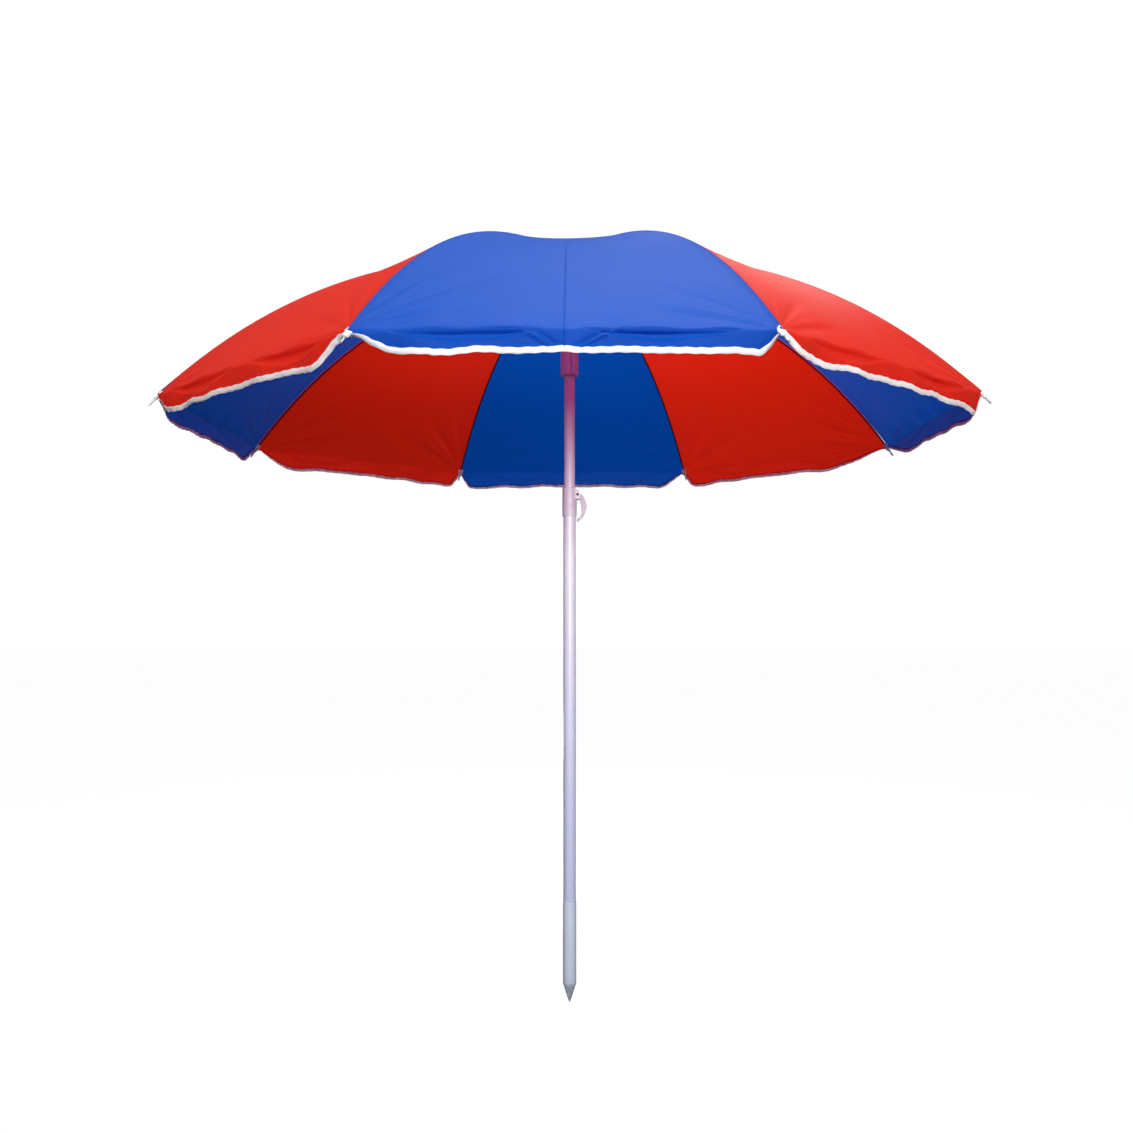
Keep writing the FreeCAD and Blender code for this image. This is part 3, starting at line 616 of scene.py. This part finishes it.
class Gore:
    """One sewn panel between two ribs, with the valance below its rim, as a smooth function.

    The shape is a function of run, which goes from the crown (near 0) to the rim (1) and on to
    the hem (2), and of swing, from -1 at the left rib to 1 at the right one.
    """

    def __init__(self, number: int, habit: Habit, canopy: Canopy) -> None:
        """Sets up the panel with a number from 1 at the front."""
        self.number = number
        self.habit = habit
        self.canopy = canopy
        self.folds = Folds()
        self.turn = math.radians(360 / RIBS) * (number - 1)

    def depth(self, swing: np.ndarray) -> np.ndarray:
        """How far the hem lies below the rim along the cloth."""
        habit = self.habit
        side = np.where(swing < 0, habit.left_corner, habit.right_corner)
        droop = np.where(swing < 0, habit.left_droop, habit.right_droop)
        from_tip = self.canopy.half_chord * (1 - np.abs(swing))
        share = from_tip / side
        ramp = share / (1 + share**7) ** (1 / 7)
        hang = 1 + droop * np.exp(-(((share - 1.1) * side / 0.045) ** 2))
        ripple = 0.0012 * np.sin(from_tip * 52 + habit.phase)
        ripple = ripple + 0.0008 * np.sin(swing * 21 + habit.phase)
        return 0.0035 + (habit.drop * hang + ripple) * ramp

    def base(self, run: np.ndarray, swing: np.ndarray) -> np.ndarray:
        """The smooth shape without its wrinkles, in the gore's own frame."""
        canopy = self.canopy
        share = np.minimum(run, 1.0)
        radius = canopy.rim_radius
        east = share * radius * math.cos(canopy.half_pitch)
        north = swing * share * canopy.half_chord
        belly = np.sin(np.pi * share**0.8) ** 2
        up = canopy.level(share) - canopy.sag * (1 - swing**2) * belly
        up = up + 0.004 * (1 - swing**2) ** 2 * np.exp(-(((1 - share) / 0.07) ** 2))
        place = np.stack([east, north, up], axis=-1)

        slope = -(canopy.root_fall + 3 * canopy.rib_bend)
        taut = np.stack(
            [
                np.full_like(swing, math.cos(canopy.half_pitch)),
                swing * math.sin(canopy.half_pitch),
                np.full_like(swing, slope),
            ],
            axis=-1,
        )
        taut /= np.linalg.norm(taut, axis=-1, keepdims=True)
        hanging = np.array(canopy.hanging)
        length = np.maximum(run - 1.0, 0.0) * self.depth(swing)
        bend = canopy.bend_length
        turned = np.minimum(length / bend, 1.0)
        along_hanging = bend * (turned**3 - turned**4 / 2) + np.maximum(length - bend, 0.0)
        along_taut = length - along_hanging
        place = place + taut * along_taut[..., None] + hanging * along_hanging[..., None]
        return place

    def wrinkles(self, run: np.ndarray, swing: np.ndarray) -> np.ndarray:
        """How far the cloth stands out of its smooth shape, in metres."""
        return self._fans(run, swing) + self._waves(run, swing) + self._valance(run, swing)

    def _fans(self, run: np.ndarray, swing: np.ndarray) -> np.ndarray:
        """Tension folds that fan out from the two rib tips over the taut part."""
        canopy = self.canopy
        share = np.minimum(run, 1.0)
        total = np.zeros_like(swing)
        for side, turn in ((-1, 0.0), (1, 2.1)):
            sideways = share * canopy.half_chord * (1 - side * swing)
            inwards = (1 - share) * canopy.rim_radius * 1.2
            reach = np.hypot(sideways, inwards)
            angle = np.arctan2(inwards, sideways + 0.004)
            strength = (reach / 0.04) * np.exp(1 - reach / 0.045)
            tail = np.exp(-(((reach - 0.12) / 0.07) ** 2)) * 0.35
            folds = np.sin(13 * angle + turn + self.habit.phase)
            folds += 0.5 * np.sin(29 * angle + 1.7 * turn + 2 * self.habit.phase)
            total += self.folds.fan * (strength + tail) * folds
        return total * (1 - swing**4)

    def _waves(self, run: np.ndarray, swing: np.ndarray) -> np.ndarray:
        """Long shallow unevenness of the taut part."""
        phase = self.habit.phase
        share = np.minimum(run, 1.0)
        slow = np.sin(5.3 * share + 2.2 * swing + phase) * np.sin(3.1 * swing * share - phase)
        quick = np.sin(17 * share - 3 * swing * share + 2 * phase) * 0.4
        return self.folds.wave * (slow + quick) * (1 - swing**2) * share

    def _valance(self, run: np.ndarray, swing: np.ndarray) -> np.ndarray:
        """Flutter, buckles and folds of the hanging edge."""
        canopy = self.canopy
        habit = self.habit
        folds = self.folds
        down = np.clip(run - 1.0, 0.0, 1.0)
        side_way = swing * canopy.half_chord
        from_tip = canopy.half_chord * (1 - np.abs(swing))
        flutter = folds.flutter * np.sin(side_way * 36 + 3 * habit.phase)
        flutter += folds.quick_flutter * np.sin(side_way * 83 - habit.phase)
        corner = np.exp(-from_tip / 0.06)
        pucker = folds.pucker * np.sin(from_tip * 330 + habit.phase) * corner
        curl = -folds.curl * corner * down**2
        arch = np.sin(np.pi * np.clip((np.abs(swing) - 0.07) / 0.76, 0, 1))
        height_share = np.clip(down / (0.08 + 0.55 * arch), 0, 1)
        buckle = folds.buckle * arch**0.7 * 4 * height_share * (1 - height_share)
        total = ((flutter + pucker) * down**0.8 - buckle) * habit.flutter + curl

        near_rim = np.exp(-(((run - 1.0) / 0.03) ** 2))
        total += folds.rim * near_rim * np.sin(side_way * 61 + habit.phase)

        if habit.middle_fold:
            height = (1 - down) * self.depth(swing) + np.maximum(1 - run, 0.0) * canopy.rim_radius
            for side, lean in zip((-1, 1), folds.middle_leans):
                across = (side_way * side - 0.003 - height * lean) / folds.middle_width
                above_tape = np.clip((height - 0.006) / 0.008, 0, 1)
                fade = np.exp(-((height / folds.middle_height) ** 8)) * above_tape
                total += habit.middle_fold * across * np.exp(-(across**2)) * fade
        return total

    def surface(self, run: np.ndarray, swing: np.ndarray) -> np.ndarray:
        """Points of the wrinkled cloth in the gore's own frame."""
        smooth = self._normal_of(self.base, run, swing)
        return self.base(run, swing) + smooth * self.wrinkles(run, swing)[..., None]

    def normal(self, run: np.ndarray, swing: np.ndarray) -> np.ndarray:
        """Outward normals of the wrinkled cloth."""
        return self._normal_of(self.surface, run, swing)

    @staticmethod
    def _normal_of(shape: Callable, run: np.ndarray, swing: np.ndarray) -> np.ndarray:
        """Normals of a shape by small steps either way.

        Args:
            shape: a function of run and swing that gives points.
            run: places from crown to hem.
            swing: places from rib to rib.

        Returns:
            Unit vectors that point out of the umbrella.
        """
        step = 0.002
        after = np.minimum(run + step, 2.0)
        before = np.maximum(run - step, 0.001)
        right = np.minimum(swing + step, 1.0)
        left = np.maximum(swing - step, -1.0)
        down = shape(after, swing) - shape(before, swing)
        across = shape(run, right) - shape(run, left)
        normal = np.cross(down, across)
        return normal / np.maximum(np.linalg.norm(normal, axis=-1, keepdims=True), 1e-12)

    def placed(self, points: np.ndarray) -> np.ndarray:
        """Points or directions of the gore's own frame, turned to its azimuth."""
        sine, cosine = math.sin(self.turn), math.cos(self.turn)
        east, north, up = points[..., 0], points[..., 1], points[..., 2]
        x = east * sine + north * cosine
        y = -east * cosine + north * sine
        return np.stack([x, y, up], axis=-1)


class Zone(Enum):
    """The two strips that each half of a gore is made of."""

    RIB_SIDE = "rib_side"
    MIDDLE = "middle"


@dataclass
class ClothMesh:
    """Points, faces and what the cloth's material reads, gathered before they become a piece."""

    points: np.ndarray
    normals: np.ndarray
    faces: list[tuple[int, ...]]
    attributes: dict[str, np.ndarray]

    def piece(self, name: str, finish: Finish) -> bpy.types.Object:
        """A smooth mesh object with its normals and attributes.

        Args:
            name: the piece's name.
            finish: what it is made of.

        Returns:
            The new object.
        """
        mesh = bpy.data.meshes.new(name)
        mesh.from_pydata(self.points.tolist(), [], self._facing_out())
        for label, values in self.attributes.items():
            layer = mesh.attributes.new(label, "FLOAT_VECTOR", "POINT")
            layer.data.foreach_set("vector", values.astype(np.float32).ravel())
        mesh.polygons.foreach_set("use_smooth", [True] * len(mesh.polygons))
        mesh.update()
        mesh.normals_split_custom_set_from_vertices(self.normals.tolist())
        mesh.materials.append(finish.material())
        made = bpy.data.objects.new(name, mesh)
        bpy.context.scene.collection.objects.link(made)
        return made

    def _facing_out(self) -> list[tuple[int, ...]]:
        """The faces, each wound so that it faces the way its normals point."""
        turned = []
        for face in self.faces:
            first, second, third = (self.points[i] for i in face[:3])
            facing = np.cross(second - first, third - first)
            outward = sum(self.normals[i] for i in face)
            turned.append(face if facing @ outward > 0 else tuple(reversed(face)))
        return turned

    def area(self) -> float:
        """The area of all faces."""
        total = 0.0
        for face in self.faces:
            corners = [self.points[i] for i in face]
            for second, third in zip(corners[1:], corners[2:]):
                total += np.linalg.norm(np.cross(second - corners[0], third - corners[0])) / 2
        return float(total)


@dataclass
class Cover:
    """The eight gores, their bound edges and the pockets that hold the rib tips."""

    canopy: Canopy = field(default_factory=Canopy)
    strip_width: float = 0.11
    rib_side_keep: float = 0.48
    middle_keep: float = 0.03
    taut_rows: int = 84
    valance_rows: int = 16
    rib_side_columns: int = 34
    middle_columns: int = 44
    tape_width: float = 0.0092
    tape_thickness: float = 0.0012
    pocket_size: Place = (0.021, 0.013, 0.0062)
    strip_ease: float = 1.12
    arc_over_radius: float = 1.16
    habits: tuple[Habit, ...] = (
        Habit(0.070, 0.028, 0.034, 0.04, 0.0, middle_fold=0.0075, flutter=1.0, phase=0.4),
        Habit(0.050, 0.018, 0.036, -0.1, 0.22, flutter=0.8, phase=1.9),
        Habit(0.040, 0.150, 0.038, 0.05, 0.1, flutter=0.25, phase=3.1),
        Habit(0.139, 0.031, 0.041, 0.05, 0.06, flutter=0.3, phase=4.4),
        Habit(0.062, 0.026, 0.043, 0.05, 0.05, flutter=0.3, phase=5.2),
        Habit(0.038, 0.075, 0.041, 0.06, 0.12, flutter=0.3, phase=0.9),
        Habit(0.087, 0.040, 0.040, 0.12, 0.0, flutter=0.25, phase=2.6),
        Habit(0.035, 0.084, 0.038, 0.0, 0.16, flutter=0.8, phase=3.8),
    )

    def build(self) -> None:
        """Makes every gore, with its bindings, and the eight tip pockets."""
        for number in range(1, RIBS + 1):
            gore = Gore(number, self.habits[number - 1], self.canopy)
            for side in (-1, 1):
                for zone in Zone:
                    self._strip(gore, side, zone)
        for rib in range(1, RIBS + 1):
            self._pocket(rib)

    @property
    def split_share(self) -> float:
        """The share of the rim's radius at which half a gore is as wide as the rib-side strip."""
        canopy = self.canopy
        return self.strip_width / (canopy.rim_radius * math.sin(2 * canopy.half_pitch) / 2)

    def _rows(self, zone: Zone) -> np.ndarray:
        """The runs of a strip's rows, closer together towards the rim."""
        canopy = self.canopy
        start = canopy.inner_radius / canopy.rim_radius
        spread = 1 - (1 - np.linspace(0, 1, self.taut_rows + 1)) ** 1.25
        taut = start + (1 - start) * spread
        taut[np.argmin(np.abs(taut - self.split_share))] = self.split_share
        hanging = 1 + np.linspace(0, 1, self.valance_rows + 1)[1:]
        rows = np.concatenate([taut, hanging])
        return rows if zone is Zone.RIB_SIDE else rows[rows >= self.split_share - 1e-9]

    def _grid(self, side: int, zone: Zone) -> tuple[np.ndarray, np.ndarray]:
        """The run and the swing of each point of a strip, row by row."""
        rows = self._rows(zone)
        edge = np.maximum(0.0, 1 - self.split_share / np.minimum(rows, 1.0))
        if zone is Zone.RIB_SIDE:
            share = 1 - (1 - np.linspace(0, 1, self.rib_side_columns + 1)) ** 1.3
            swing = edge[:, None] + (1 - edge[:, None]) * share[None, :]
        else:
            share = np.linspace(0, 1, self.middle_columns + 1)
            swing = edge[:, None] * share[None, :]
        run = np.repeat(rows[:, None], swing.shape[1], axis=1)
        return run, side * swing

    def _strip(self, gore: Gore, side: int, zone: Zone) -> None:
        """One strip of cloth and its binding, on the arm of the rib that it is sewn to."""
        word = "right" if side > 0 else "left"
        rib = gore.number if side > 0 else (gore.number - 2) % RIBS + 1
        node = f"gore_{gore.number}_{word}"
        finish = Finish.COVER_BLUE if gore.number % 2 else Finish.COVER_RED
        run, swing = self._grid(side, zone)
        mesh = self._cloth_mesh(gore, run, swing)
        cloth = mesh.piece(f"{node}_{zone.value}", finish)
        binding = f"binding_{gore.number}_{word}_{zone.value}"
        tape = self._tape_mesh(gore, swing[-1]).piece(binding, Finish.EDGE_WHITE)
        for piece, slot in ((cloth, finish.value.name), (tape, "edge_white")):
            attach(piece, f"rib_{rib}_arm")
            self._fold(piece, zone)
        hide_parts(node)
        length = self.canopy.rim_radius * self.arc_over_radius + gore.habit.drop
        area = mesh.area()
        if zone is Zone.RIB_SIDE:
            flat = (self.strip_width * self.strip_ease, length)
        else:
            width = self.canopy.half_chord - self.strip_width
            flat = (width, length * (1 - self.split_share * 0.9))
        area = min(area, flat[0] * flat[1])
        log.info("%s: %d faces, %.4f square metres", cloth.name, len(mesh.faces), area)

    def _cloth_mesh(self, gore: Gore, run: np.ndarray, swing: np.ndarray) -> ClothMesh:
        """A strip of a gore as a mesh; a first row that is a single point is closed to one."""
        points = gore.placed(gore.surface(run, swing))
        normals = gore.placed(gore.normal(run, swing))
        canopy = self.canopy
        share = np.minimum(run, 1.0)
        hanging = np.maximum(run - 1, 0)
        depth = gore.depth(swing)
        across = swing * share * canopy.half_chord
        along = share * canopy.rim_radius * 1.13 + hanging * depth
        from_rib = (1 - np.abs(swing)) * share * canopy.half_chord * math.cos(canopy.half_pitch)
        above_hem = (2 - run) * depth + (1 - share) * canopy.rim_radius
        beyond = np.where(run > 1.0, from_rib + 0.02 * (run - 1.0), from_rib)
        weave = np.stack([across, along, np.full_like(along, gore.number * 0.5)], axis=-1) * 1000
        seam = np.stack([beyond, share * canopy.rim_radius, above_hem], axis=-1) * 1000

        rows, columns = run.shape
        index = np.arange(rows * columns).reshape(rows, columns)
        pointed = float(np.abs(swing[0]).max()) < 1e-9
        faces: list[tuple[int, ...]] = []
        for row in range(rows - 1):
            for column in range(columns - 1):
                corners = (
                    index[row, column],
                    index[row, column + 1],
                    index[row + 1, column + 1],
                    index[row + 1, column],
                )
                if pointed and row == 0:
                    corners = (index[0, 0], corners[2], corners[3])
                faces.append(tuple(int(i) for i in corners))
        keep = np.ones(rows * columns, bool)
        if pointed:
            keep[index[0, 1:]] = False
        number = np.cumsum(keep) - 1
        faces = [tuple(int(number[i]) for i in face) for face in faces]

        def chosen(values: np.ndarray) -> np.ndarray:
            """The values at the points that stay."""
            return values.reshape(-1, 3)[keep]

        attributes = {"weave": chosen(weave), "seam": chosen(seam)}
        return ClothMesh(chosen(points), chosen(normals), faces, attributes)

    def _tape_mesh(self, gore: Gore, swing: np.ndarray) -> ClothMesh:
        """The binding folded over the hem between the first and the last swing."""
        run = np.full_like(swing, 2.0)
        edge = gore.surface(run, swing)
        normal = gore.normal(run, swing)
        along = np.gradient(edge, axis=0)
        along /= np.linalg.norm(along, axis=-1, keepdims=True)
        inward = np.cross(normal, along)
        inner = gore.surface(np.full_like(swing, 1.9), swing)
        inward *= np.sign(np.sum(inward * (inner - edge), axis=-1, keepdims=True))
        inward[-1] = inward[-2]
        steps = np.linalg.norm(np.diff(edge, axis=0), axis=1)
        run_length = np.concatenate([[0], np.cumsum(steps)])

        width = self.tape_width
        half = self.tape_thickness / 2
        outer = [(-0.0012, 0.0), (-0.0008, 0.8), (0.0014, 1.0), (width * 0.62, 0.9)]
        outer += [(width * 0.86, 0.6), (width * 0.88, 0.1)]
        inner_side = [(width * 0.42, -0.1), (width * 0.4, -0.6), (0.0014, -0.9), (-0.0008, -0.7)]
        section = outer + inner_side
        room = np.minimum(1.0, gore.depth(swing) / (width * 1.05))
        wander = 0.0005 * np.sin(run_length * 260 + gore.habit.phase)
        swell = 1 + 0.3 * np.sin(run_length * 410 + 2 * gore.habit.phase)
        points, normals, weave = [], [], []
        for into, out in section:
            reach = (into * room + wander)[:, None]
            lift = (out * half * swell)[:, None]
            points.append(edge + inward * reach + normal * lift)
            away = inward * ((into - width * 0.4) / width) + normal * out
            normals.append(away / np.linalg.norm(away, axis=-1, keepdims=True))
            across = np.full_like(run_length, into)
            weave.append(np.stack([run_length, across, 0 * run_length], -1))
        count = len(swing)
        ring = len(section)
        faces = []
        for turn in range(ring):
            following = (turn + 1) % ring
            for step in range(count - 1):
                here, there = turn * count + step, following * count + step
                faces.append((here, here + 1, there + 1, there))
        faces.append(tuple(turn * count for turn in range(ring)))
        faces.append(tuple(turn * count + count - 1 for turn in reversed(range(ring))))
        places = gore.placed(np.concatenate(points))
        ways = gore.placed(np.concatenate(normals))
        return ClothMesh(places, ways, faces, {"weave": np.concatenate(weave) * 1000})

    def _fold(self, piece: bpy.types.Object, zone: Zone) -> None:
        """Gives a strip a mesh of its own.
        """
        if zone is Zone.RIB_SIDE:
            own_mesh(piece)
            return
        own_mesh(piece)

    def _pocket(self, rib: int) -> None:
        """The folded scrap of tape that holds a rib's tip, modelled lying along +X."""
        canopy = self.canopy
        length, width, thick = self.pocket_size
        bpy.ops.object.select_all(action="DESELECT")
        bpy.ops.mesh.primitive_cube_add(size=1)
        pocket = bpy.context.object
        pocket.name = f"tip_pocket_{rib}"
        bpy.ops.object.mode_set(mode="EDIT")
        bpy.ops.transform.resize(value=(length, width, thick))
        bpy.ops.mesh.subdivide(number_cuts=3)
        self._select(pocket, lambda point: point.x > length * 0.49)
        bpy.ops.transform.resize(value=(1.0, 0.55, 0.8))
        self._select(pocket, lambda point: abs(point.x) < length * 0.1)
        bpy.ops.transform.resize(value=(1.0, 1.15, 0.82))
        self._select(pocket, lambda point: abs(point.y) > width * 0.45)
        bpy.ops.transform.resize(value=(1.0, 1.0, 0.45))
        bpy.ops.object.mode_set(mode="OBJECT")
        round_off = pocket.modifiers.new("round_off", "SUBSURF")
        round_off.levels = 2
        round_off.render_levels = 2
        bpy.ops.object.modifier_apply(modifier=round_off.name)
        for vertex in pocket.data.vertices:
            vertex.co.z += 0.0007 * math.sin(vertex.co.x * 700 + rib) * math.cos(vertex.co.y * 520)
        bpy.ops.object.shade_smooth()

        azimuth = math.radians(360 / RIBS * (rib - 0.5) - 90)
        fall = math.atan(canopy.root_fall + 3 * canopy.rib_bend)
        tilt = Matrix.Rotation(azimuth, 4, "Z") @ Matrix.Rotation(fall, 4, "Y")
        radius = canopy.rim_radius - 0.002
        height = canopy.rim_height + 0.0026
        at = Vector((radius * math.cos(azimuth), radius * math.sin(azimuth), height))
        weave = [(v.co.x * 1000, v.co.y * 1000 + 3, 0.0) for v in pocket.data.vertices]
        layer = pocket.data.attributes.new("weave", "FLOAT_VECTOR", "POINT")
        layer.data.foreach_set("vector", np.array(weave, np.float32).ravel())
        pocket.data.transform(Matrix.Translation(at) @ tilt)
        pocket.data.materials.append(Finish.EDGE_WHITE.material())
        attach(pocket, f"rib_{rib}_arm")
        log.info("%s: %d faces", pocket.name, len(pocket.data.polygons))

    @staticmethod
    def _select(piece: bpy.types.Object, wanted: Callable[[Vector], bool]) -> None:
        """Selects in edit mode the vertices whose place is wanted, and no others."""
        bpy.ops.mesh.select_all(action="DESELECT")
        mesh = bmesh.from_edit_mesh(piece.data)
        for vertex in mesh.verts:
            vertex.select = wanted(vertex.co)
        mesh.select_flush_mode()
        bmesh.update_edit_mesh(piece.data)


# ------------------------------------------------------------------ hard parts


@dataclass
class Pole:
    """The two tubes, the ground spike and the flip-lever clamp."""

    tubes: tuple[str, ...] = ("lower_tube", "upper_tube")
    mouldings: tuple[str, ...] = ("clamp_collar", "guide_bush")

    def dress(self) -> None:
        """Gives each of its nodes a finish."""
        for node in self.tubes:
            dress(node, Finish.POLE_PAINT)
        dress("spike", Finish.SPIKE_COAT)
        for node in self.mouldings:
            dress(node, Finish.WHITE_PLASTIC)
        # The lever gets the darker copy of the white plastic, which is painted shade.
        dress("clamp_lever", Finish.LEVER_PLASTIC)
        dress("clamp_shoe", Finish.GREY_PLASTIC)
        dress("lever_pin", Finish.DARK_STEEL)
        dress("collar_rivet", Finish.BRIGHT_STEEL)


@dataclass
class Linkage:
    """The crown, the runner with its latch, and the ribs with their stretchers."""

    mouldings: tuple[str, ...] = ("crown_hub", "top_cap", "runner", "runner_latch")
    wires: tuple[str, ...] = ("crown_ring", "runner_ring", "latch_pin")

    def dress(self) -> None:
        """Gives each of its nodes a finish."""
        for node in self.mouldings:
            dress(node, Finish.WHITE_PLASTIC)
        for node in self.wires:
            dress(node, Finish.BRIGHT_STEEL)
        for rib in range(1, RIBS + 1):
            dress(f"rib_{rib}", Finish.RIB_LACQUER)
            dress(f"stretcher_{rib}", Finish.BRIGHT_STEEL)
            dress(f"bracket_{rib}", Finish.BRIGHT_STEEL)


# ------------------------------------------------------------------ studio


@dataclass(frozen=True)
class Lamp:
    """A square soft box that isn't seen itself.

    It hangs at a place and points at a target. The size is the length of its side in metres, the
    power is in watts, and the spread is how wide it throws its light, in degrees.
    """

    name: str
    place: Place
    target: Place
    size: float
    power: float
    spread: float = 180.0

    def hang(self) -> None:
        """Puts the lamp in the scene."""
        data = bpy.data.lights.new(self.name, "AREA")
        data.size = self.size
        data.energy = self.power
        data.spread = math.radians(self.spread)
        lamp = bpy.data.objects.new(self.name, data)
        bpy.context.scene.collection.objects.link(lamp)
        lamp.location = self.place
        lamp.visible_camera = False
        heading = Vector(self.target) - Vector(self.place)
        lamp.rotation_euler = heading.to_track_quat("-Z", "Y").to_euler()


@dataclass
class Studio:
    """A pale floor, soft lights and the camera."""

    camera_place: Place = (0.0225, -2.287, 0.762)
    camera_pitch: float = math.radians(2.88)
    camera_yaw: float = math.radians(0.72)
    focal_share: float = 0.984
    sensor: float = 36.0
    light_from_below: float = 0.05
    light_from_above: float = 0.2
    seen_brightness: float = 1.02
    floor_size: float = 60.0
    floor_glow: float = 0.97
    lamps: tuple[Lamp, ...] = (
        Lamp("key", (-0.4, -2.6, 3.2), (0.0, 0.0, 1.2), 1.8, 15.0),
        Lamp("top", (0.2, -0.3, 2.8), (0.0, 0.0, 1.2), 1.1, 29.0),
        Lamp("back", (0.9, 2.3, 2.7), (0.0, 0.3, 1.2), 1.2, 17.0),
        Lamp("front", (0.5, -3.7, 1.5), (0.0, 0.0, 1.1), 1.4, 18.0, spread=60.0),
        Lamp("rear", (-0.4, 3.7, 0.2), (0.0, 0.0, 0.25), 0.3, 1.6, spread=24.0),
    )

    def build(self) -> None:
        """Sets the stage."""
        self._floor()
        self._world()
        for lamp in self.lamps:
            lamp.hang()
        self._camera()
        bpy.context.scene.view_settings.view_transform = "Standard"

    def _floor(self) -> None:
        """A large pale floor under the spike, which throws no light up under the cover."""
        bpy.ops.object.select_all(action="DESELECT")
        bpy.ops.mesh.primitive_plane_add(size=self.floor_size, location=(0, 0, -0.0005))
        floor = bpy.context.object
        floor.name = "floor"
        floor.visible_diffuse = False
        floor.visible_glossy = False
        recipe = Recipe.of_material("floor_paint")
        speck = recipe.noise(recipe.place(), scale=3.0, detail=3.0)
        colour = recipe.blend(speck * 0.1, (0.12, 0.12, 0.12), (0.1, 0.1, 0.1))
        glow = self.floor_glow
        paint = recipe.surface(
            Base_Color=colour,
            Roughness=0.7,
            Emission_Color=(glow, glow, glow),
            Emission_Strength=glow,
        )
        floor.data.materials.append(recipe.finish(paint))

    def _world(self) -> None:
        """A white surround that lights softly from above and little from below."""
        recipe = Recipe(bpy.data.worlds.new("surround"))
        _, _, up = recipe.parts(recipe.node("ShaderNodeTexCoord", output="Generated"))
        sockets = {"Value": up, "From Min": -0.15, "From Max": 0.6}
        sockets |= {"To Min": self.light_from_below, "To Max": self.light_from_above}
        light = recipe.node("ShaderNodeMapRange", sockets=sockets)
        seen = recipe.node("ShaderNodeLightPath", output="Is Camera Ray")
        strength = recipe.node(
            "ShaderNodeMix", sockets={0: seen, 2: light, 3: self.seen_brightness}
        )
        sockets = {"Color": (1.0, 1.0, 1.0), "Strength": strength}
        glow = recipe.node("ShaderNodeBackground", sockets=sockets)
        bpy.context.scene.world = recipe.finish(glow)

    def _camera(self) -> None:
        """The camera, level with the middle of the pole and tilted up a little."""
        data = bpy.data.cameras.new("camera")
        data.sensor_width = self.sensor
        data.lens = self.sensor * self.focal_share
        camera = bpy.data.objects.new("camera", data)
        bpy.context.scene.collection.objects.link(camera)
        camera.location = self.camera_place
        camera.rotation_euler = (math.pi / 2 + self.camera_pitch, 0.0, self.camera_yaw)
        bpy.context.scene.camera = camera


def main() -> None:
    """Builds and dresses the umbrella on its stage."""
    logging.basicConfig(level=logging.INFO, format="%(name)s %(message)s")
    Cover().build()
    Pole().dress()
    Linkage().dress()
    Studio().build()


if __name__ == "__main__":
    main()
